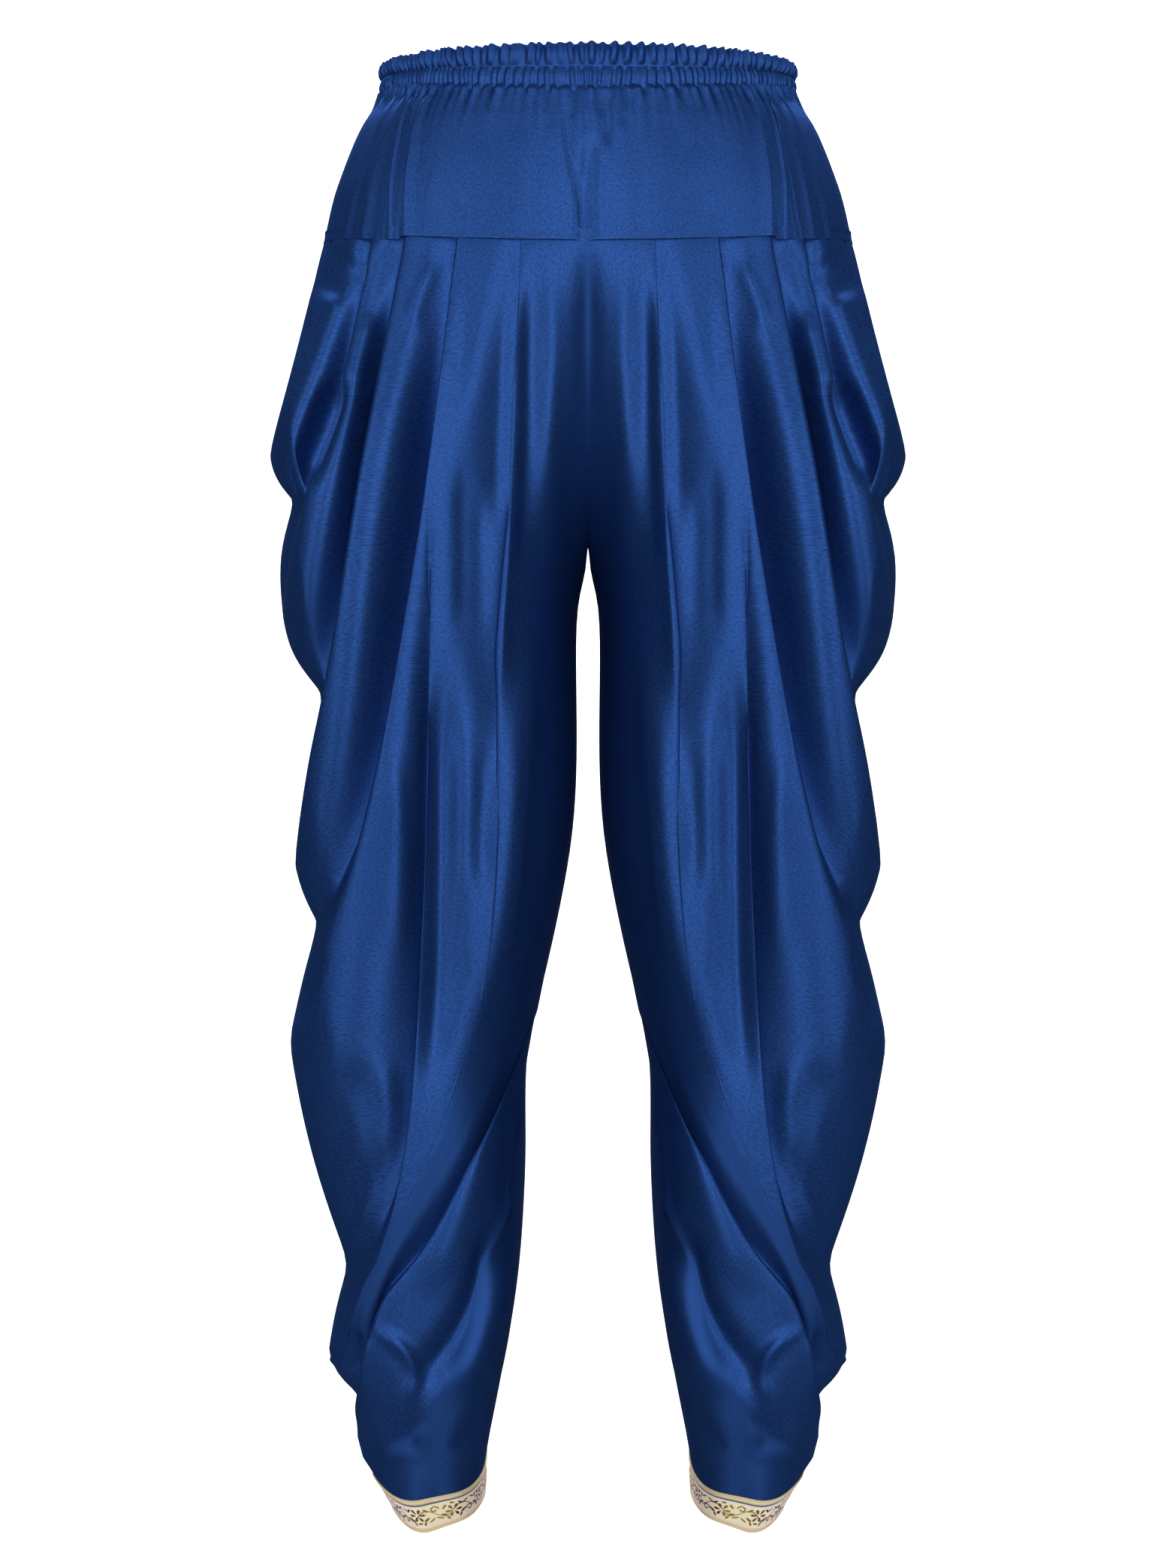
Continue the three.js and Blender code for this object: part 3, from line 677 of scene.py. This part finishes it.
# %% Yoke shape
def yoke_grid(face):
    half = yoke_columns()
    left = half[::-1] * np.array([-1, -1, -1, 1])
    columns = np.vstack([left[:-1], half])
    v = np.concatenate([np.linspace(0, 0.2, 24, endpoint=False), np.linspace(0.2, 1, 62)])
    share = mix(columns[None, :, 0], columns[None, :, 1], v[:, None])
    angle = share * np.pi / 2
    speed = np.hypot(YOKE_WIDE * np.cos(angle), YOKE_DEEP * np.sin(angle))
    opening = smooth(v / 0.12)[:, None]
    angle = angle + columns[None, :, 2] / speed * opening
    top = BAND_FOOT + BAND_FOOT_LIFT * np.sin(angle) ** 2 + 1.2
    in_middle = columns[None, :, 1] ** 2 <= PLEATS[0][1] ** 2
    bottom = hem_height(HIP_WIDE * np.sin(angle)) - 2 + np.where(in_middle, 1.2, -1.3)
    z = mix(top, bottom, v[:, None])
    proud = columns[None, :, 3] * mix(0.35, 1, opening)
    key = "front" if face < 0 else "back"
    wide, deep = read_table(HIP, "wide", z) + proud, read_table(HIP, key, z) + proud
    x = np.sin(angle) * wide
    y = np.maximum(np.cos(angle) * deep, 0)
    upward = 0.0022 * np.ones_like(angle)
    square = np.stack([np.sin(angle) / wide, face * np.cos(angle) / deep, upward], axis=2)
    square /= np.linalg.norm(square, axis=2)[:, :, None]
    if face > 0:
        x, square = -x, square * MIRROR
    return np.stack([x, face * y, z], axis=2), square, angle, v


def shape_yoke(face):
    points, normal, angle, v = yoke_grid(face)
    arc = angle * 122
    drop = np.maximum(points[0, :, 2][None, :] - points[:, :, 2], 0)
    reach = 7 + 9 * waver(arc[0] / 9, 5 + face, 2.0)[None, :] ** 2
    folds = (np.sin(arc * 0.95 + 2.2 * waver(arc / 14, 11, 2.0))
             + 0.6 * np.sin(arc * 0.57 + 2 * waver(arc / 30, 3, 3.0)))
    push = 1.5 * np.sign(folds) * np.abs(folds) ** 0.8 * np.exp(-drop / reach)
    ripple = waver(arc / 5 + 0.4 * waver(drop / 30, 2), 31 + face, 2.0)
    push = push + 0.16 * ripple * (0.5 + waver(arc / 17 + drop / 60, 7))
    if face < 0:
        creases = [([(13, 2), (13.5, -50)], 1.7, 2, 4), ([(6, 0), (9, -28)], 0.8, 2, 2),
                   ([(-1, 0), (-1, -45)], 0.7, 3, 2),
                   ([(-17, 1), (-13, -45), (-5, -85), (-3, -125)], 1.8, 4, 2),
                   ([(-8, 0), (-11, -30)], 0.8, 2, 2), ([(3, -34), (-1, -60), (-1, -130)], 3.2, 5, 5),
                   ([(25, 0), (22, -36)], 0.6, 3, 3), ([(-27, 0), (-25, -40)], 0.6, 3, 3),
                   ([(83, -76), (84, -112)], 0.9, 1.6, 4), ([(-83, -74), (-84, -112)], 0.9, 4, 1.6),
                   ([(48, -30), (50, -112)], -0.4, 9, 9), ([(-44, -20), (-47, -112)], -0.4, 9, 9),
                   ([(70, 0), (66, -60)], 0.4, 6, 6), ([(-72, 0), (-68, -55)], 0.4, 6, 6)]
    else:
        creases = [([(22, 0), (14, -60)], 0.9, 5, 5), ([(-22, 0), (-12, -62)], 0.9, 5, 5),
                   ([(2, -40), (0, -112)], 1.5, 6, 6), ([(70, -60), (74, -112)], 0.8, 4, 4),
                   ([(-76, -66), (-72, -112)], 0.8, 4, 4)]
    for path, depth, outer, inner in creases:
        push = push + crease(points[:, :, 0], points[:, :, 2], path, depth, outer, inner)
    ends = smooth(np.minimum(angle + np.pi / 2, np.pi / 2 - angle) / 0.04)
    points = points + normal * (push * ends)[:, :, None]
    lip = v[:, None] ** 10
    out = points * np.array([1, 1, 0])
    out = out / np.maximum(np.linalg.norm(out, axis=2), 1e-6)[:, :, None]
    points = points + out * (1.3 * lip)[:, :, None]
    hem = points[-1]
    turned = [hem + out[-1] * a + np.array([0, 0, b])
              for a, b in ((-0.25, -0.35), (-0.6, -0.3), (-0.8, 0.4), (-1.0, 3.0), (-1.1, 8.0))]
    waist = WAIST_FRONT if face < 0 else WAIST_BACK
    under = np.stack([-face * (WAIST_WIDE + 0.3) * np.sin(angle[0]), face * (waist + 0.3) * np.cos(angle[0]),
                      points[0, :, 2] + 4], axis=1)
    return np.vstack([[under, mix(points[0], under, 0.5)], points, np.array(turned)])


yokes = [make_sheet("yoke_front", shape_yoke(-1), satin, flip=False),
         make_sheet("yoke_back", shape_yoke(1), satin, flip=False)]


# %% [markdown]
# ## The waistband
# The waistband is cloth folded over elastic and stitched through twice. Above the upper row of stitches
# it stands as a loose frill, and between the rows it lies in finer gathers. Every gather is a little
# different, and they mirror each other only roughly.

# %% Waistband
BAND_COLUMNS = 1440
FRILL_WAVES, CASING_WAVES = (118, 74), (178, 96)
BAND_ROWS = {
    "v": [0.0, 0.25, 0.5, 0.75, 1.0],
    "z": [23, 15.5, 8, -0.5, -9],
    "lift": [2, 4.5, 8, 11, 14],
}


def band_grid():
    angle = np.linspace(0, 2 * np.pi, BAND_COLUMNS + 1)
    v = np.concatenate([np.linspace(0, 0.5, 22, endpoint=False), np.linspace(0.5, 1, 20)])
    z0, lift = np.interp(v, BAND_ROWS["v"], BAND_ROWS["z"]), np.interp(v, BAND_ROWS["v"], BAND_ROWS["lift"])
    upper, lower = np.sin(np.pi * clamp01(v / 0.5)), np.sin(np.pi * clamp01((v - 0.5) / 0.5))
    out = 0.2 + 1.6 * upper + 1.7 * lower + 0.9 * smooth((v - 0.9) / 0.1)
    circle = np.cos(angle), np.sin(angle)
    wander = waver(circle[0] * 3.1 + circle[1] * 1.7, 21, 2.0) * 1.1
    coarse = (np.sin(angle * FRILL_WAVES[0] + 6.5 * wander)
              + 0.7 * np.sin(angle * FRILL_WAVES[1] - 5.6 * wander))
    fine = (np.sin(angle * CASING_WAVES[0] + 8 * wander)
            + 0.8 * np.sin(angle * CASING_WAVES[1] - 7 * wander))
    coarse, fine = (np.sign(w) * np.abs(w) ** 0.75 for w in (coarse, fine))
    loose = np.maximum(1 - v / 0.42, 0) ** 0.6
    pinch = 1 - 0.75 * np.exp(-((v - 0.5) / 0.05) ** 2) - 0.6 * np.exp(-((v - 0.97) / 0.05) ** 2)
    head = smooth((0.56 - v) / 0.12)
    push = (1.15 * head * (0.65 + 0.6 * loose))[:, None] * coarse[None, :]
    push += (0.62 * (1 - head))[:, None] * fine[None, :]
    push = push * pinch[:, None]
    slant = (0.5 - v)[:, None] * 9 * np.sin(angle * 13 + 2 * wander)[None, :]
    side = np.sin(angle) ** 2
    scallop = np.outer(np.exp(-v / 0.07), 0.55 * coarse)
    z = z0[:, None] + lift[:, None] * side[None, :] + scallop
    turn = angle[None, :] + slant / 118 / 3
    deep = np.where(np.cos(angle) > 0, WAIST_FRONT, WAIST_BACK)[None, :]
    far = out[:, None] + push
    outer = np.stack([(WAIST_WIDE + far) * np.sin(turn), -(deep + far) * np.cos(turn), z], axis=2)
    inside = -np.stack([np.sin(angle), -np.cos(angle), 0 * angle], axis=1)
    roll = [outer[0] + inside * a + np.array([0, 0, b]) for a, b in ((2.0, -0.3), (1.5, 0.45), (0.7, 0.5))]
    inner = outer[::4] + inside[None, :, :] * 2.4
    inner[1:, :, :2] = mix(inner[1:, :, :2], np.stack([(WAIST_WIDE - 2.0) * np.sin(angle),
                                                       -(deep[0] - 2.0) * np.cos(angle)], axis=1)[None], 0.55)
    return np.concatenate([inner[::-1], np.array(roll), outer], axis=0)


band_points = band_grid()
band = make_sheet("waistband", band_points, satin, np.ones(len(band_points), bool))


# %% [markdown]
# ## The borders at the ankles
# A woven border closes each leg. It is stiffer than the satin, so it hangs as a plain band: a gold cord,
# the band with its vine of flowers, a second cord, and a pale lining inside.

# %% Border shape
BORDER_TALL, REPEAT, BORDER_REPEATS = 22.0, 40.0, 6
# at the inner and the outer edge of the ankle: out from the middle above and below, and the drop between
CUFF_INNER, CUFF_OUTER, CUFF_NARROWS = (70.5, 70.0, 18.0), (146.0, 131.5, 24.5), 0.92


def cuff_grid(edge):
    ring = edge[:-1]
    fine = 3
    many = np.arange(len(ring) * fine + 1) / fine
    loop = np.vstack([ring, ring[:1]])
    dense = np.stack([np.interp(many, np.arange(len(loop)), loop[:, k]) for k in range(3)], axis=1)
    across = clamp01((dense[:, 0] - CUFF_INNER[0]) / (CUFF_OUTER[0] - CUFF_INNER[0]))
    low = mix(CUFF_INNER[1], CUFF_OUTER[1], across)
    drop = mix(CUFF_INNER[2], CUFF_OUTER[2], across)
    middle = np.array([dense[:, 0].mean(), 0.0])
    away = dense[:, :2] - middle
    away /= np.linalg.norm(away, axis=1)[:, None]

    def row(s, out):
        x, y = mix(dense[:, 0], low, s), dense[:, 1] * mix(1, CUFF_NARROWS, s)
        return np.stack([x + away[:, 0] * out, y + away[:, 1] * out, dense[:, 2] - SEAM - s * drop], axis=1)

    def cord(top, bottom):
        return [(mix(top, bottom, (1 - math.cos(a)) / 2), 0.35 + 0.6 * math.sin(a))
                for a in np.linspace(0, math.pi, 7)]

    outer = [(0.02, -0.9), (-0.02, -0.1), *cord(-0.015, 0.06), *cord(0.065, 0.13),
             *((s, 0.3) for s in np.linspace(0.145, 0.86, 30)), *cord(0.87, 0.93), *cord(0.935, 0.995)]
    lining = [(1.0, -0.2), *((s, -0.7) for s in np.linspace(0.985, 0.05, 12))]
    run = np.concatenate([[0], np.cumsum(np.linalg.norm(np.diff(dense[:, :2], axis=0), axis=1))])
    heights = [s * BORDER_TALL for s, _ in outer] + [(1.9 - s) * BORDER_TALL for s, _ in lining]
    u = np.tile(run / run[-1] * BORDER_REPEATS * REPEAT, (len(heights), 1))
    v = np.tile(np.array(heights)[:, None], (1, len(run)))
    return np.array([row(s, out) for s, out in outer + lining]), (u * MM, v * MM)


cuff_points, cuff_place = cuff_grid(leg_edge)
print("the border is", BORDER_TALL, "mm tall, with", BORDER_REPEATS, "repeats round the ankle")


# %% [markdown]
# The border is a jacquard: cream ground, two gold cords at each edge, a slate line, and a vine of
# six-petalled flowers with leaves and curls between them. Its threads change colour with the angle, so
# the vine looks wine red towards the inside of the leg, gold in front and olive brown outside. One repeat
# of 40 mm is charted below.

# %% Border finish
def make_border():
    material, shader, place, across, down = start_material("border")
    around, low = across * 1000.0, down * 1000.0
    a = around.math("FLOORED_MODULO", REPEAT)
    h = 11.2 - low

    def inside(q, soft=0.3):
        return 1.0 - q.step(1.0 - soft, 1.0 + soft)

    def leaf(x, y, long, wide, degrees):
        c, s = math.cos(math.radians(degrees)), math.sin(math.radians(degrees))
        dx, dy = a - x, h - y
        p, q = (dx * c + dy * s) / long, (dy * c - dx * s) / wide
        return inside(p * p + q * q)

    def curl(x, y, way):
        dx, dy = a - x, h - y
        turn = dy.math("ARCTAN2", dx * way)
        return inside(abs((dx * dx + dy * dy).math("SQRT") - (turn * 0.26 + 1.55)) / 0.44)

    def stem(height, phase):
        wave = ((a + phase) * (2 * math.pi / 20)).math("SINE") * height
        return inside(abs(h - wave) / 0.36)

    def flower(x, y):
        dx, dy = a - x, h - y
        far, turn = (dx * dx + dy * dy).math("SQRT"), dy.math("ARCTAN2", dx)
        swell = (far - 2.75) / 1.95
        return ((turn * 6.0).math("COSINE") - swell * swell * 1.15).step(-0.25, 0.05)

    marks = [flower(10, -0.6), flower(30, 0.9),
             leaf(5.6, 3.6, 1.7, 0.7, 40), leaf(4.6, -2.6, 2.0, 0.75, -35), leaf(14.6, 3.2, 1.8, 0.7, -50),
             leaf(15.4, -2.2, 2.0, 0.75, 25), leaf(13.6, -5.0, 1.6, 0.7, 60), leaf(6.4, -5.2, 1.5, 0.6, -60),
             leaf(25.4, -2.6, 1.9, 0.75, -30), leaf(24.6, 3.4, 1.6, 0.7, 45), leaf(34.8, 3.8, 1.7, 0.7, -40),
             leaf(35.4, -1.8, 2.0, 0.75, 30), leaf(33.4, -4.6, 1.6, 0.7, 70), leaf(27.0, -5.0, 1.4, 0.6, -60),
             curl(20, 2.9, 1.0), curl(0.3, -2.9, -1.0), curl(40.3, -2.9, -1.0), stem(3.2, 0.0),
             leaf(18.0, -3.6, 2.4, 0.5, 30), leaf(22.6, -3.8, 2.2, 0.5, -30), leaf(10.2, 5.1, 1.3, 0.6, 10),
             leaf(37.4, 3.9, 2.2, 0.5, 25), leaf(2.6, 3.9, 2.2, 0.5, -25), leaf(30.0, -4.6, 1.5, 0.6, 0)]
    vine = marks[0]
    for mark in marks[1:]:
        vine = vine.math("MAXIMUM", mark)
    vine = vine * low.step(4.6, 5.0) * (1.0 - low.step(17.6, 18.0))

    whole = BORDER_REPEATS * REPEAT
    turn = 1.0 - abs(around * (2.0 / whole) - 1.0)
    shot = turn.step(0.38, 0.46).blend(linear(112, 0, 48), linear(178, 132, 30))
    shot = turn.step(0.50, 0.60).blend(shot, linear(104, 66, 30))
    ground = abs(turn - 0.47).step(0.02, 0.3).blend(linear(255, 250, 212), linear(255, 232, 224))
    grain = place.node("ShaderNodeTexNoise", Vector=place, Scale=700.0, Detail=2.0)
    ground = (grain * 0.4).blend(ground, linear(242, 220, 196))
    tint = vine.blend(ground, shot)
    tint = (low.step(17.6, 18.2) * 0.8).blend(tint, linear(255, 232, 230))
    slate = low.step(2.9, 3.1) * (1.0 - low.step(4.0, 4.3))
    tint = slate.blend(tint, linear(108, 100, 140))
    cords = (1.0 - low.step(2.75, 2.95)).math("MAXIMUM", low.step(18.9, 19.1))
    twist = ((around * 0.9 + low * 0.5) * 6.0).math("SINE") * 0.5 + 0.5
    tint = cords.blend(tint, (twist * 0.6).blend(linear(255, 238, 190), linear(216, 180, 126)))
    between = (1.0 - abs(low - 1.35).step(0.15, 0.35)) * 0.8
    tint = between.blend(tint, linear(250, 240, 214))
    lining = low.step(22.4, 22.6)
    tint = lining.blend(tint, low.step(22.8, 23.2).blend(linear(110, 90, 140), linear(236, 232, 236)))
    tint.feed(shader.inputs["Base Color"], tint)
    metal = (cords * 0.15 + vine * 0.05) * (1.0 - lining)
    metal.feed(shader.inputs["Metallic"], metal)
    shader.inputs["Roughness"].default_value = 0.5
    thread = twist * cords + vine * 0.6 + (down * 7000.0).math("SINE") * 0.15
    bump = thread.node("ShaderNodeBump", Height=thread, Strength=0.4, Distance=0.0003)
    bump.feed(shader.inputs["Normal"], bump)
    return material


border = make_border()
cuffs = [make_sheet("cuff_left", cuff_points, border, np.ones(len(cuff_points), bool), place=cuff_place),
         make_sheet("cuff_right", cuff_points * MIRROR, border, np.ones(len(cuff_points), bool), flip=True,
                    place=cuff_place)]


# %% [markdown]
# ## What each piece is
# Each sheet's name is printed with the area of its cloth, in square metres.

for piece in (*legs, *yokes, band, *cuffs):
    print(piece.name, "cloth area", round(sum(face.area for face in piece.data.polygons), 4))


# %% [markdown]
# ## Light, ground and camera
# The photo was taken straight from the front on plain white, and shows one half mirrored, its light too.
# So a tall soft strip stands beside the camera, and each half of the garment has a soft light of its own
# at its outer side, linked to that half alone. Cloth that turns towards the middle stays dark, as satin
# does there in the photo. A fourth light behind the garment whitens only the ground, which curves up
# behind it and isn't mirrored in the cloth, so that the outline stays dark.

# %% Ground
FLOOR, BEND_START = -1.02, 0.6


def make_ground():
    arc = [(BEND_START + math.sin(a), FLOOR + 1.0 * (1 - math.cos(a)))
           for a in np.linspace(0, math.pi / 2, 12)]
    line = [(-0.9, FLOOR), *arc, (BEND_START + 1.0, 1.2)]
    verts = [(x, y, z) for y, z in line for x in (-1.1, 1.1)]
    faces = [(2 * k, 2 * k + 1, 2 * k + 3, 2 * k + 2) for k in range(len(line) - 1)]
    mesh = bpy.data.meshes.new("ground")
    mesh.from_pydata(verts, [], faces)
    mesh.polygons.foreach_set("use_smooth", [True] * len(mesh.polygons))
    ground = bpy.data.objects.new("ground", mesh)
    bpy.context.scene.collection.objects.link(ground)
    paper = bpy.data.materials.new("paper")
    paper.use_nodes = True
    shader = next(n for n in paper.node_tree.nodes if n.type == "BSDF_PRINCIPLED")
    shader.inputs["Base Color"].default_value = (0.93, 0.93, 0.93, 1)
    shader.inputs["Roughness"].default_value = 0.9
    mesh.materials.append(paper)
    ground.visible_glossy = False


make_ground()
print("the ground lies at", FLOOR, "m")


# %% Lights
def add_light(name, place, aim, size, power, only_on=()):
    data = bpy.data.lights.new(name, "AREA")
    data.shape = "RECTANGLE"
    data.size, data.size_y = size
    data.energy = power
    light = bpy.data.objects.new(name, data)
    bpy.context.scene.collection.objects.link(light)
    toward = Vector(aim) - Vector(place)
    light.location = place
    light.rotation_euler = toward.to_track_quat("-Z", "Y").to_euler()
    if only_on:
        lit = bpy.data.collections.new(name + "_lights")
        for piece in only_on:
            lit.objects.link(piece)
        light.light_linking.receiver_collection = lit


add_light("key", (0, -3.3, 0.0), (0, 0, -0.45), (1.4, 3.4), 52)
add_light("side_left", (-2.2, -2.1, 0.1), (-0.1, 0, -0.45), (0.9, 2.8), 28, (legs[1], cuffs[1], *yokes, band))
add_light("side_right", (2.2, -2.1, 0.1), (0.1, 0, -0.45), (0.9, 2.8), 28, (legs[0], cuffs[0], *yokes, band))
add_light("background", (0, 0.75, 1.0), (0, 1.15, -0.9), (2.0, 0.6), 70)
scene = bpy.context.scene
world = bpy.data.worlds.new("air")
scene.world = world
world.use_nodes = True
world.node_tree.nodes["Background"].inputs[0].default_value = (1, 1, 1, 1)
world.node_tree.nodes["Background"].inputs[1].default_value = 0.06
scene.view_settings.view_transform = "Standard"

# %% Camera
CAMERA_FAR, PICTURE_TALL, PICTURE_MIDDLE = 2400, 1068, -462
camera_data = bpy.data.cameras.new("camera")
camera_data.sensor_fit = "VERTICAL"
camera_data.sensor_height = 36.0
camera_data.lens = camera_data.sensor_height * CAMERA_FAR / PICTURE_TALL
camera = bpy.data.objects.new("camera", camera_data)
scene.collection.objects.link(camera)
camera.location = (0, -CAMERA_FAR / 1000, PICTURE_MIDDLE / 1000)
camera.rotation_euler = (math.pi / 2, 0, 0)
scene.camera = camera
print("camera", CAMERA_FAR, "mm away, lens", round(camera_data.lens, 1))
